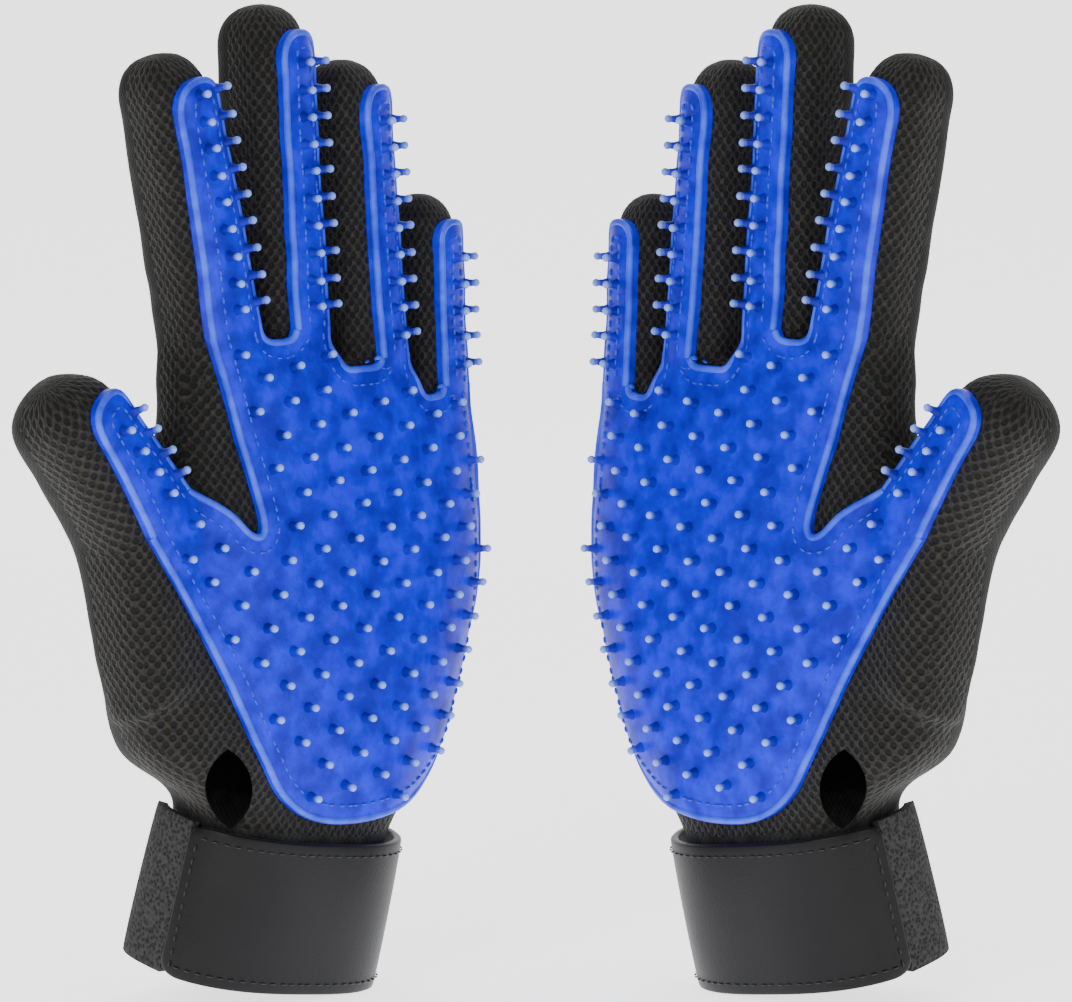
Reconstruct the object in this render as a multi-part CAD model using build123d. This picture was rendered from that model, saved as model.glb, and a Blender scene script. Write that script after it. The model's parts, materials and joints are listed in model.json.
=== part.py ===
from build123d import *
from math import cos, radians, sin, sqrt
import os

# A pair of five-finger pet grooming gloves, standing upright, palms to the front (-Y).
# Each glove is drawn in its own hand frame: +X towards the little finger, the palm facing -Y
# and the fingers up +Z. The left glove is then turned and placed, and the right one mirrors it.

# Placing of the pair, mm and degrees
hand_turn = 42.0
hand_offset = 52.7

# Fabric and rubber thicknesses
shell_wall = 1.6
cuff_wall = 2.0
pad_thickness = 1.8
hinge_gap = 0.5

# Rubber nubs
nub_height = 3.8
nub_base_radius = 1.35
nub_neck_radius = 0.75
nub_tip_radius = 0.95
nub_sink = 0.8
nub_row_pitch = 6.4
nub_hinge_clearance = 4.0
nub_columns = (-0.08, 0.38)
nub_end_gap = 3.5
palm_nub_start = (-27.1, 147.0)
palm_nub_across = (10.2, 2.1)
palm_nub_down = (-3.0, -7.8)
palm_nub_columns = range(-8, 14)
palm_nub_rows = range(-3, 20)
palm_nub_margin = 4.5
palm_nub_finger_gap = 4.0

# Blocks that cut pieces apart are larger than a whole glove
cutter_size = 400.0
cutter_height = 200.0
cut_overrun = 1.0

# Palm sections from the knuckles to the wrist:
# centre x, y, z, width, depth, tilt about Y, tilt about X
palm_sections = [
    (-0.5, 0.5, 147.0, 91.0, 21.0, 10.0, 0.0),
    (-0.5, 0.0, 127.0, 92.0, 27.0, 7.0, 0.0),
    (-2.0, -0.5, 104.0, 94.0, 32.0, 3.0, 0.0),
    (-9.5, 0.0, 80.0, 100.0, 35.0, 1.0, 0.0),
    (-11.0, 0.5, 60.0, 85.0, 37.0, 3.0, 5.0),
    (-10.0, 1.5, 42.0, 55.5, 36.0, 6.0, 12.0),
]
palm_corner = 0.42

# Cuff, along its own axis down from the wrist
cuff_length = 38.0
cuff_end_width = 58.0
cuff_end_depth = 38.5
cuff_corner = 0.46
binding_height = 4.0
binding_thickness = 1.2
strap_top = 1.5
strap_inner = 1.5
strap_thickness = 1.6
patch_thickness = 0.6
patch_margin = 3.0
patch_end_gap = 1.0
strap_hinge_x = -13.0
strap_sewn_x = 18.0
strap_sewn_y = -4.0
strap_back_y = 9.0
tab_end_y = 1.0

# Half the size of a block that takes in the whole band
band_reach = 60.0

# Vent slit at the thumb side of the wrist, a pointed oval
vent_height = 20.0
vent_width = 11.0
vent_centre = (-37.0, -12.0, 52.0)
vent_across = (1.0, -0.9, 0.0)
vent_outward = (-0.9, -1.0, 0.0)
vent_reach = 10.0

# Seam between the palm panel and the back panel
seam_y = -5.0

# Fingers: axis point at the hinge, lean to the thumb side, roll to the little-finger side,
# length past the hinge, width and depth at the hinge and near the tip,
# pad width and how far the pad sits to the little-finger side
fingers = {
    "index": ((-35.0, -1.0, 159.0), 12.4, 3.0, 65.5, (20.5, 20.5), (19.0, 18.5), 13.0, 1.0),
    "middle": ((-12.3, 1.2, 159.0), 3.0, 11.0, 76.0, (20.0, 20.5), (18.5, 18.5), 13.2, 1.5),
    "ring": ((12.9, 0.7, 151.5), 3.8, 14.0, 70.5, (19.5, 19.5), (17.5, 17.5), 12.4, 1.7),
    "little": ((35.1, 2.0, 144.0), 1.6, 16.0, 45.5, (17.0, 17.5), (15.5, 16.0), 12.0, 1.0),
    "thumb": ((-57.6, 0.0, 115.7), 38.0, 8.0, 39.0, (25.0, 26.0), (21.0, 23.0), 15.0, 3.0),
}
finger_root = 26.0
thumb_root = 34.0
thumb_root_width = 34.0
finger_corner = 0.36
tip_round = 9.0
tip_shares = (0.45, 0.78, 0.96, 1.0)
tip_power = 2.6
tip_flat = 0.16
pad_tip_gap = 7.0
pad_root = 40.0
pad_corner = 0.44
pad_overlap = 2.0
thumb_nub_edges = ((-8.0, -6.0), (8.0, 0.0))

# Outline of the rubber palm pad in the X, Z plane, counter-clockwise from the wrist
palm_outline = [
    (-3.0, 41.0), (12.0, 42.5), (22.0, 46.5), (30.5, 54.0), (37.0, 66.0),
    (41.5, 82.0), (43.5, 103.0), (42.5, 125.0), (42.5, 152.0),
]
palm_outline_left = [
    (-41.5, 165.0), (-40.0, 150.0), (-35.0, 130.0), (-31.0, 113.0),
]
thumb_outline_left = [
    (-52.5, 98.0), (-47.0, 88.0), (-40.5, 74.0), (-33.5, 60.0), (-26.0, 48.5), (-17.0, 42.5),
]


def rounded(plane, width, depth, ratio):
    """A rounded rectangle on a plane, its corners a share of its shorter side."""
    return plane * RectangleRounded(width, depth, ratio * min(width, depth))


def palm_plane(x, y, z, tilt_y, tilt_x):
    """The plane of one palm section, its x along the knuckles."""
    return Plane(origin=(x, y, z)).rotated((tilt_x, tilt_y, 0))


def palm_solid(grow, top_drop=0.0, open_bottom=0.0):
    """The palm from knuckles to wrist, made larger or smaller all round by grow."""
    faces = []
    last = len(palm_sections) - 1
    for number, (x, y, z, width, depth, tilt_y, tilt_x) in enumerate(palm_sections):
        plane = palm_plane(x, y, z, tilt_y, tilt_x)
        if number == 0:
            plane = plane.offset(-top_drop)
        if number == last:
            plane = plane.offset(-open_bottom)
        faces.append(rounded(plane, width + 2 * grow, depth + 2 * grow, palm_corner))
    return loft(faces, ruled=True)


def wrist_plane():
    """The plane where the palm ends and the cuff begins."""
    x, y, z, width, depth, tilt_y, tilt_x = palm_sections[-1]
    return palm_plane(x, y, z, tilt_y, tilt_x)


def cuff_solid(grow, low, high):
    """The cuff between two distances below the wrist, grown all round."""
    x, y, z, width, depth, tilt_y, tilt_x = palm_sections[-1]
    faces = []
    for distance in (low, high):
        share = distance / cuff_length
        wide = width + (cuff_end_width - width) * share + 2 * grow
        deep = depth + (cuff_end_depth - depth) * share + 2 * grow
        faces.append(rounded(wrist_plane().offset(-distance), wide, deep, cuff_corner))
    return loft(faces, ruled=True)


def finger_plane(name):
    """The hinge plane of a finger: z along the finger, x across it, -y out of its pad."""
    (x, y, z), lean, roll = fingers[name][:3]
    along = Vector(-sin(radians(lean)), 0, cos(radians(lean)))
    across = Vector(cos(radians(lean)), 0, sin(radians(lean)))
    across = across.rotate(Axis((0, 0, 0), along), roll)
    return Plane(origin=(x, y, z), x_dir=across, z_dir=along)


def finger_size(name, distance):
    """Width and depth of a finger at a distance past its hinge."""
    length, base_size, tip_size = fingers[name][3:6]
    share = max(distance, 0.0) / length
    wide = base_size[0] + (tip_size[0] - base_size[0]) * share
    deep = base_size[1] + (tip_size[1] - base_size[1]) * share
    if name == "thumb" and distance < 0:
        wide += (thumb_root_width - wide) * (-distance / thumb_root)
    return wide, deep


def finger_solid(name, grow):
    """One finger stall from its root inside the palm to its rounded tip."""
    length = fingers[name][3] + grow
    root = thumb_root if name == "thumb" else finger_root
    plane = finger_plane(name)
    faces = []
    for distance in (-root, -root / 2, 0.0, length / 2, length - tip_round):
        wide, deep = finger_size(name, distance)
        face = rounded(plane.offset(distance), wide + 2 * grow, deep + 2 * grow, finger_corner)
        faces.append(face)
    for share in tip_shares:
        distance = length - tip_round * (1 - share)
        fall = sqrt(max(1 - share**tip_power, tip_flat))
        wide, deep = finger_size(name, distance)
        wide = (wide + 2 * grow) * fall
        deep = (deep + 2 * grow) * fall
        faces.append(rounded(plane.offset(distance), wide, deep, finger_corner))
    return loft(faces, ruled=True)


def half_space(plane, past):
    """A large block on the +z side of a plane, starting past it."""
    align = (Align.CENTER, Align.CENTER, Align.MIN)
    return plane.offset(past) * Box(cutter_size, cutter_size, cutter_height, align=align)


def below(name, grow):
    """The root of a finger, up to its hinge."""
    return finger_solid(name, grow) - half_space(finger_plane(name), -hinge_gap / 2)


def nub():
    """One rubber nub on the origin, pointing along +Z: a slim cone with a ball end."""
    ball_height = nub_height - nub_tip_radius
    cone = Cone(nub_base_radius, nub_neck_radius, ball_height + nub_sink)
    cone = Pos(0, 0, (ball_height - nub_sink) / 2) * cone
    return cone + Pos(0, 0, ball_height) * Sphere(nub_tip_radius)


def finger_nub_spots(name):
    """Distances along and across a finger pad for its two columns of nubs."""
    length, pad_width, pad_shift = fingers[name][3], fingers[name][6], fingers[name][7]
    spots = []
    distance = nub_hinge_clearance
    while distance < length - pad_tip_gap - nub_end_gap:
        for share in nub_columns:
            spots.append((distance, pad_shift + share * pad_width))
        distance += nub_row_pitch
    return spots


def finger_pad_outline(name):
    """The face of a finger pad, seen square to the pad, with a rounded tip."""
    length, pad_width, pad_shift = fingers[name][3], fingers[name][6], fingers[name][7]
    end = length - pad_tip_gap
    plane = finger_plane(name)
    face_plane = Plane(origin=plane.origin, x_dir=plane.x_dir, z_dir=-plane.y_dir)
    outline = RectangleRounded(pad_width, end + pad_root, pad_corner * pad_width)
    return face_plane * Pos(pad_shift, (end - pad_root) / 2) * outline


def finger_pad(name):
    """The rubber face of one finger, with its nubs."""
    plane = finger_plane(name)
    depth = fingers[name][4][1]
    skin = finger_solid(name, pad_thickness) - finger_solid(name, 0.0)
    window = extrude(finger_pad_outline(name), depth)
    window = window & half_space(plane, hinge_gap / 2)
    pad = skin & window
    pad = max(pad.solids(), key=lambda solid: solid.volume)
    nubs = []
    for distance, across in finger_nub_spots(name):
        wide, deep = finger_size(name, distance)
        local = Location((across, -(deep / 2 + pad_thickness), distance), (90, 0, 0))
        nubs.append(plane.location * local * nub())
    return Part() + pad + nubs


def finger_stall(name):
    """One finger of the glove past its hinge, hollow, with a closed tip."""
    plane = finger_plane(name)
    shell = finger_solid(name, 0.0) - finger_solid(name, -shell_wall)
    return shell & half_space(plane, hinge_gap / 2)


def vent():
    """The pointed oval that the wrist vent cuts through the shell."""
    radius = (vent_height**2 / 4 + vent_width**2 / 4) / vent_width
    shift = radius - vent_width / 2
    lens = (Pos(shift, 0) * Circle(radius)) & (Pos(-shift, 0) * Circle(radius))
    plane = Plane(origin=vent_centre, x_dir=vent_across, z_dir=vent_outward)
    return extrude(plane * lens, vent_reach, both=True)


def glove_body(grow):
    """The palm with the root of each finger, grown all round."""
    body = palm_solid(grow)
    for name in fingers:
        body = body + below(name, grow)
    return body


def thumb_clearance():
    """The room that the thumb takes up past its hinge, kept free of the palm."""
    room = finger_solid("thumb", pad_thickness + hinge_gap)
    return room & half_space(finger_plane("thumb"), -hinge_gap / 2)


def hand_shell():
    """The hollow fabric shell of palm and finger roots, open at the wrist and the hinges."""
    hollow = palm_solid(-shell_wall, top_drop=shell_wall, open_bottom=2 * cut_overrun)
    shell = glove_body(0.0) - hollow
    for name in fingers:
        shell = shell - finger_solid(name, -shell_wall)
    return shell - vent() - thumb_clearance()


def palm_pad_prism():
    """The outline of the palm pad as a block that reaches forward from the seam."""
    plane = Plane(origin=(0, seam_y, 0), x_dir=(1, 0, 0), z_dir=(0, -1, 0))
    thumb = finger_plane("thumb")
    half, shift = fingers["thumb"][6] / 2, fingers["thumb"][7]
    right = thumb.origin + thumb.x_dir * (shift + half) + thumb.z_dir * pad_overlap
    left = thumb.origin + thumb.x_dir * (shift - half) + thumb.z_dir * pad_overlap
    points = list(palm_outline) + list(palm_outline_left)
    points += [(right.X, right.Z), (left.X, left.Z)] + list(thumb_outline_left)
    face = make_face(Polyline(*points, close=True))
    return extrude(plane * face, cutter_height)


def palm_nub_spots():
    """Points of the palm's slanted grid of nubs, wide enough to cover the whole palm."""
    spots = []
    for column in palm_nub_columns:
        for row in palm_nub_rows:
            x, z = [
                start + column * across + row * down
                for start, across, down in zip(palm_nub_start, palm_nub_across, palm_nub_down)
            ]
            spots.append((x, z))
    return spots


def inside_outline(x, z, points, margin):
    """Whether a point is inside a closed outline and at least margin from its edges."""
    inside = False
    for (x1, z1), (x2, z2) in zip(points, points[1:] + points[:1]):
        length = sqrt((x2 - x1) ** 2 + (z2 - z1) ** 2)
        share = ((x - x1) * (x2 - x1) + (z - z1) * (z2 - z1)) / length**2
        share = min(max(share, 0.0), 1.0)
        gap = sqrt((x - x1 - share * (x2 - x1)) ** 2 + (z - z1 - share * (z2 - z1)) ** 2)
        if gap < margin:
            return False
        if (z1 > z) != (z2 > z) and x < x1 + (z - z1) / (z2 - z1) * (x2 - x1):
            inside = not inside
    return inside


def palm_pad():
    """The rubber face of the palm with the roots of the finger pads, and its nubs."""
    skin = glove_body(pad_thickness) - glove_body(0.0)
    pad = (skin & palm_pad_prism()) - thumb_clearance()
    pad = max(pad.solids(), key=lambda solid: solid.volume)
    thumb = finger_plane("thumb")
    points = list(palm_outline) + list(palm_outline_left)
    for across, up in reversed(thumb_nub_edges):
        points.append((thumb.origin.X + across, thumb.origin.Z + up))
    points += list(thumb_outline_left)
    nubs = []
    for x, z in palm_nub_spots():
        near_hinge = False
        for name in fingers:
            plane = finger_plane(name)
            local = plane.to_local_coords(Vector(x, plane.origin.Y, z))
            reach = fingers[name][4][0] / 2 + palm_nub_finger_gap
            if local.Z > -nub_hinge_clearance and abs(local.X) < reach:
                near_hinge = True
        if near_hinge or not inside_outline(x, z, points, palm_nub_margin):
            continue
        hits = pad.find_intersection_points(Axis((x, -cutter_height, z), (0, 1, 0)))
        if not hits:
            continue
        point, normal = min(hits, key=lambda hit: hit[0].Y)
        spot = Plane(origin=point, z_dir=normal)
        nubs.append(spot.location * nub())
    return Part() + pad + nubs


def split_shell():
    """The palm panel and the back panel of the shell, which meet at the side seams."""
    shell = hand_shell()
    seam = Plane(origin=(0, seam_y, 0), z_dir=(0, 1, 0))
    back = shell & half_space(seam, 0.0)
    palm = shell - half_space(seam, 0.0)
    return palm, back


def wrist_cuff():
    """The elastic tube round the wrist."""
    outside = cuff_solid(0.0, 0.0, cuff_length)
    return outside - cuff_solid(-cuff_wall, -cut_overrun, cuff_length + cut_overrun)


def cuff_binding():
    """The folded tape that finishes the lower edge of the cuff."""
    ring = cuff_solid(binding_thickness, cuff_length - binding_height, cuff_length)
    return ring - cuff_solid(0.0, -cut_overrun, cuff_length + cut_overrun)


def strap_band(inner, thickness, top, bottom):
    """A closed band round the cuff between two distances below the wrist."""
    outside = cuff_solid(inner + thickness, top, bottom)
    return outside - cuff_solid(inner, top - cut_overrun, bottom + cut_overrun)


def block(x_low, x_high, y_low, y_high):
    """A tall block in the wrist plane's own x and y, to cut the band with."""
    middle = ((x_low + x_high) / 2, (y_low + y_high) / 2, -cuff_length / 2)
    return wrist_plane().location * Location(middle) * Box(x_high - x_low, y_high - y_low, 2 * band_reach)


def patch_band(inner):
    """The band that a hook or loop patch is cut from, clear of the strap's edges."""
    bottom = cuff_length - binding_height - patch_margin
    return strap_band(inner, patch_thickness, strap_top + patch_margin, bottom)


def wrist_strap():
    """The strap from its sewn end at the little-finger side to the hinge of its tab."""
    band = strap_band(strap_inner, strap_thickness, strap_top, cuff_length)
    band = band & block(strap_hinge_x + hinge_gap / 2, band_reach, -band_reach, strap_back_y)
    sewn = strap_band(0.0, strap_inner + strap_thickness / 2, strap_top, cuff_length - binding_height)
    return band + (sewn & block(strap_sewn_x, band_reach, strap_sewn_y, strap_back_y))


def strap_tab():
    """The free end of the strap, which wraps to the thumb side."""
    band = strap_band(strap_inner, strap_thickness, strap_top, cuff_length)
    return band & block(-band_reach, strap_hinge_x - hinge_gap / 2, -band_reach, tab_end_y)


def patch_span():
    """The stretch of the band that the hook and loop patches cover."""
    return block(-band_reach, strap_hinge_x - patch_margin, -band_reach, tab_end_y - patch_end_gap)


def hook_patch():
    """The hook tape sewn inside the tab."""
    return patch_band(strap_inner - patch_thickness) & patch_span()


def loop_patch():
    """The loop tape on the cuff that the hook tape grips."""
    return patch_band(0.0) & patch_span()


def left_pieces():
    """Every piece of the left glove by name, in its hand frame."""
    palm_panel, back_panel = split_shell()
    pieces = {"palm_panel": palm_panel, "back_panel": back_panel, "palm_pad": palm_pad()}
    for name in fingers:
        pieces[f"{name}_stall"] = finger_stall(name)
        pieces[f"{name}_pad"] = finger_pad(name)
    pieces["wrist_cuff"] = wrist_cuff()
    pieces["cuff_binding"] = cuff_binding()
    pieces["wrist_strap"] = wrist_strap()
    pieces["strap_tab"] = strap_tab()
    pieces["hook_patch"] = hook_patch()
    pieces["loop_patch"] = loop_patch()
    return pieces


def pair_place(pieces):
    """The move that turns the left glove, stands it on the ground and centres it in Y."""
    turned = [Rot(0, 0, hand_turn) * shape for shape in pieces.values()]
    boxes = [shape.bounding_box() for shape in turned]
    low = min(box.min.Z for box in boxes)
    front = min(box.min.Y for box in boxes)
    back = max(box.max.Y for box in boxes)
    return Pos(-hand_offset, -(front + back) / 2, -low) * Rot(0, 0, hand_turn)


def write_pair():
    """Writes both gloves, the right one as the mirror image of the left."""
    os.makedirs("parts", exist_ok=True)
    pieces = left_pieces()
    place = pair_place(pieces)
    for name, shape in pieces.items():
        left = place * shape
        export_step(left, f"parts/left_{name}.step")
        export_step(mirror(left, about=Plane.YZ), f"parts/right_{name}.step")


if __name__ == "__main__":
    write_pair()
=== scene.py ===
import json
import math

import bpy
import numpy as np
from mathutils import Matrix, Vector
from mathutils.bvhtree import BVHTree

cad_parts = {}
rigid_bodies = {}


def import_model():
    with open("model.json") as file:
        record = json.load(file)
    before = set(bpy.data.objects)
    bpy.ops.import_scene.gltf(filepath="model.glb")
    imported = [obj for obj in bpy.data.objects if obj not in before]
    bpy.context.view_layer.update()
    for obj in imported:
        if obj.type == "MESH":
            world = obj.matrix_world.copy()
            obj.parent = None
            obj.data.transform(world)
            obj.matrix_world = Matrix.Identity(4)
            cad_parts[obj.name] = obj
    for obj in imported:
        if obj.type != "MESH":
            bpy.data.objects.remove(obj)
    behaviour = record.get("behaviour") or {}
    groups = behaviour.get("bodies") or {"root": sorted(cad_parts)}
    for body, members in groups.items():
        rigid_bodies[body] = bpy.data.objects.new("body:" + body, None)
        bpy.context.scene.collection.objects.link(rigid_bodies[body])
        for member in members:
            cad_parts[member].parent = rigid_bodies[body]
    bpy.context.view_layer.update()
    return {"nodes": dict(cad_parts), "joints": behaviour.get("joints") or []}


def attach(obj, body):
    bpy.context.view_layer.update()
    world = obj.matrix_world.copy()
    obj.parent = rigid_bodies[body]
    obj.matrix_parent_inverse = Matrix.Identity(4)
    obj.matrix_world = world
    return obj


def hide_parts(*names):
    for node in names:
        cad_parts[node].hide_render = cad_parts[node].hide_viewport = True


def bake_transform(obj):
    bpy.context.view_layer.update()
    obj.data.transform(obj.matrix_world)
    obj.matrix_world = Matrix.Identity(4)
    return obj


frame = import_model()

mm = 0.001
joints = {j["name"]: j for j in frame["joints"]}

# The hand that fills the glove, mm, thumb at -X, palm to -Y, fingers up
hand = {
    "turn": 42.0,
    # centre x, y, z, width, depth, tilt about Y, tilt about X, from the knuckles to the cuff's end
    "sections": [
        (-0.5, 1.0, 150.5, 90.0, 20.5, 13.0, 0.0),
        (-0.5, 0.3, 140.0, 92.0, 24.5, 10.0, 0.0),
        (-0.5, 0.0, 127.0, 92.5, 28.0, 7.0, 0.0),
        (-5.5, -0.5, 104.0, 101.0, 33.0, 3.0, 0.0),
        (-9.8, 0.0, 80.0, 100.5, 36.5, 1.0, 0.0),
        (-12.5, 0.5, 57.5, 87.0, 38.0, 3.0, 5.0),
        (-10.0, 1.5, 42.0, 56.5, 36.5, 6.0, 12.0),
        (-12.0, 5.4, 23.0, 56.0, 36.5, 6.0, 12.0),
        (-14.0, 9.3, 4.8, 58.0, 38.5, 6.0, 12.0),
    ],
    "roundness": 2.7,
    "voxel": 1.35,
    "sideNormal": 0.62,
    "creaseSize": 15.0,
    "creaseDepth": 1.1,
    "backStart": 1.5,
    "fabric": 1.2,
}
wristSection = 6
cuffLength = 38.0

# Hinge point, lean to the thumb side, roll, length past the hinge, size at the hinge and the tip,
# the rubber's width, how far it sits to the little-finger side and how much wider its root is
fingers = {
    "index": dict(at=(-35.0, -1.0, 159.0), lean=12.4, roll=3.0, length=65.5,
                  base=(20.5, 20.5), tip=(19.0, 18.5), pad=15.6, shift=2.3, flare=2.0, root=26.0),
    "middle": dict(at=(-12.3, 1.2, 159.0), lean=3.0, roll=11.0, length=76.0,
                   base=(20.0, 20.5), tip=(18.5, 18.5), pad=14.4, shift=2.2, root=26.0),
    "ring": dict(at=(12.9, 0.7, 151.5), lean=3.8, roll=14.0, length=70.5,
                 base=(19.5, 19.5), tip=(17.5, 17.5), pad=13.6, shift=2.5, root=26.0),
    "little": dict(at=(35.1, 2.0, 144.0), lean=1.6, roll=16.0, length=45.5,
                   base=(17.0, 17.5), tip=(15.5, 16.0), pad=13.0, shift=1.7, root=26.0),
    "thumb": dict(at=(-57.6, 0.0, 115.7), lean=38.0, roll=8.0, length=39.0,
                  base=(26.0, 26.0), tip=(22.0, 23.0), pad=15.0, shift=3.0, flare=3.5,
                  root=36.0),
}
# Every finger: its round tip, the thumb's root, where the fabric is cut and stops bending
stall = {"roundness": 3.0, "tipRound": 11.0, "tipPower": 2.3, "tipFlat": 0.0004,
         "crowding": 1.35, "rootWidth": 52.0, "rootShift": -7.0, "cut": -1.0, "bendEnd": 11.0,
         "spare": (3.2, 5.0, 8.0), "spareDeep": 8.0, "weaveRadius": 10.5, "backShare": 0.12,
         "hingeOut": 1.9}

# The moulded rubber face, its rim and its stitches
rubber = {"thickness": 1.9, "front": -60.0, "palmBack": -3.0, "fingerBack": -1.0,
          "tipGap": 6.5, "rim": 0.9, "rimInset": 0.7, "rimSink": 0.35,
          "stitchInset": 4.4, "stitchPitch": 2.6, "stitchLift": 0.12, "shortestRow": 8}
# The nubs: one pin, the rows on a finger and the slanted grid on the palm
nubs = {"height": 3.9, "base": 1.5, "neck": 0.72, "ball": 0.98, "sink": 0.5, "waist": 0.84,
        "rowPitch": 6.4, "firstRow": 4.0, "columns": (-0.08, 0.38),
        "palmStart": (-27.1, 147.0), "palmAcross": (10.2, 2.1), "palmDown": (-3.0, -7.8),
        "columnRange": range(-8, 14), "rowRange": range(-3, 20), "margin": 4.0,
        "endGap": 3.5, "hingeGap": 3.4, "fingerGap": 4.0}

# The gap at the thumb side of the wrist, a pointed oval
vent = {"at": (-37.5, -13.0, 51.0), "tall": 20.0, "wide": 11.0, "deep": 9.0, "arcPoints": 12,
        "across": (1.0, -0.9, 0.0), "inward": (0.9, 1.0, 0.0)}

# The strap and the knitted strip beside its free end: angles round the cuff, levels below the wrist
strap = {"start": 189.0, "end": 376.0, "inner": 1.5, "thick": 2.0, "top": -1.5, "bottom": -38.2,
         "corner": 3.0, "cornerReach": 14, "swell": 0.35, "bevel": 0.6, "roundness": 2.7,
         "hinge": (-13.0, -24.0), "bendEnd": (-25.0, -24.0),
         "stripStart": 150.0, "stripGap": 0.7, "stripInner": 0.2, "stripThick": 2.4}
strapThread = {"inset": 2.6, "lift": 0.3, "pitch": 2.8, "width": 0.3, "length": 1.7,
               "sideMargin": 4.0, "endMargin": 6.0}

# The stage, the view and the lights: metres, degrees and watts
stage = {"size": 6, "wall": 4, "curve": 1.2, "paper": (0.9, 0.9, 0.9, 1), "glow": 1.9,
         "sky": 0.2, "white": (1, 1, 1, 1)}
lens = {"distance": 1.5, "elevation": 4.0, "width": 0.2537, "aim": (0.0, 0.0, 0.1185),
        "sensor": 36.0}
lightAim = (0, 0, 0.12)
lights = {
    "keyLight": dict(spot=(-0.5, -1.3, 0.8), size=0.6, power=11),
    "fillLight": dict(spot=(1.0, -1.0, 0.5), size=0.8, power=4),
    "topLight": dict(spot=(0, 0.2, 1.3), size=0.8, power=5),
}


def fingerFrame(name):
    # x across the finger, y to its back, z along it
    f = fingers[name]
    lean, roll = math.radians(f["lean"]), math.radians(f["roll"])
    along = Vector((-math.sin(lean), 0, math.cos(lean)))
    across = Matrix.Rotation(roll, 3, along) @ Vector((math.cos(lean), 0, math.sin(lean)))
    back = along.cross(across)
    frameOf = Matrix((across, back, along)).transposed().to_4x4()
    frameOf.translation = Vector(f["at"])
    return frameOf


def handPlace():
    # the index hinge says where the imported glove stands
    f = fingers["index"]
    turn = Matrix.Rotation(math.radians(hand["turn"]), 4, "Z")
    hinge = fingerFrame("index") @ Vector((0, -(f["base"][1] / 2 + stall["hingeOut"]), 0))
    shift = Vector(joints["left_index_curl"]["pos_m"]) - (turn @ hinge) * mm
    return Matrix.Translation(shift) @ turn @ Matrix.Scale(mm, 4)


place = handPlace()
handSpace = Matrix.Identity(4)


def deselect():
    if bpy.context.mode != "OBJECT":
        bpy.ops.object.mode_set(mode="OBJECT")
    bpy.ops.object.select_all(action="DESELECT")


def pick(obj):
    deselect()
    obj.select_set(True)
    bpy.context.view_layer.objects.active = obj
    return obj


def copyOf(obj, name):
    new = obj.copy()
    new.data = obj.data.copy()
    new.name = name
    bpy.context.scene.collection.objects.link(new)
    return new


def drop(*objs):
    for obj in objs:
        bpy.data.objects.remove(obj, do_unlink=True)


def applyModifier(obj, kind, **settings):
    pick(obj)
    bpy.ops.object.modifier_add(type=kind)
    modifier = obj.modifiers[-1]
    for key, value in settings.items():
        setattr(modifier, key, value)
    bpy.ops.object.modifier_apply(modifier=modifier.name)
    return obj


def joined(objs, name):
    pick(objs[0])
    for obj in objs:
        obj.select_set(True)
    bpy.ops.object.join()
    whole = bpy.context.view_layer.objects.active
    whole.name = name
    return whole


def superPoint(width, depth, angle, power):
    c, s = math.cos(angle), math.sin(angle)
    x = math.copysign(abs(c) ** (2 / power), c) * width / 2
    y = math.copysign(abs(s) ** (2 / power), s) * depth / 2
    return x, y


def wrappedGrid(name, ringPoint, around, rings):
    # a grid whose x goes round and whose y goes along, closed at both ends
    deselect()
    bpy.ops.mesh.primitive_grid_add(x_subdivisions=around, y_subdivisions=rings, size=2)
    obj = bpy.context.object
    obj.name = name
    for v in obj.data.vertices:
        v.co = ringPoint((v.co.x + 1) * math.pi, (v.co.y + 1) / 2)
    bpy.ops.object.mode_set(mode="EDIT")
    bpy.ops.mesh.select_all(action="SELECT")
    bpy.ops.mesh.remove_doubles(threshold=0.01)
    bpy.ops.mesh.fill_holes(sides=0)
    bpy.ops.mesh.normals_make_consistent(inside=False)
    bpy.ops.object.mode_set(mode="OBJECT")
    return obj


def smoothBetween(rows, t):
    # a Catmull-Rom curve through rows of numbers, t from 0 to 1
    rows = [np.array(r, float) for r in rows]
    along = min(max(t, 0.0), 1.0) * (len(rows) - 1)
    i = min(int(along), len(rows) - 2)
    u = along - i
    p1, p2 = rows[i], rows[i + 1]
    p0 = rows[i - 1] if i else 2 * p1 - p2
    p3 = rows[i + 2] if i + 2 < len(rows) else 2 * p2 - p1
    return 0.5 * (2 * p1 + (p2 - p0) * u + (2 * p0 - 5 * p1 + 4 * p2 - p3) * u * u
                  + (3 * p1 - p0 - 3 * p2 + p3) * u ** 3)


def sectionFrame(x, y, z, tiltY, tiltX):
    turn = Matrix.Rotation(math.radians(tiltX), 4, "X") @ Matrix.Rotation(math.radians(tiltY), 4, "Y")
    turn.translation = Vector((x, y, z))
    return turn


wristX, wristY, wristZ, _, _, wristLean, wristTip = hand["sections"][wristSection]
wristFrame = sectionFrame(wristX, wristY, wristZ, wristLean, wristTip)


def palmRing(angle, t):
    x, y, z, width, depth, tiltY, tiltX = smoothBetween(hand["sections"], t)
    px, py = superPoint(width, depth, angle, hand["roundness"])
    return sectionFrame(x, y, z, tiltY, tiltX) @ Vector((px, py, 0))


def fingerSize(name, distance):
    f = fingers[name]
    share = max(distance, 0) / f["length"]
    wide = f["base"][0] + (f["tip"][0] - f["base"][0]) * share
    deep = f["base"][1] + (f["tip"][1] - f["base"][1]) * share
    if name == "thumb" and distance < 0:
        wide += (stall["rootWidth"] - wide) * (-distance / f["root"])
    return wide, deep


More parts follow.
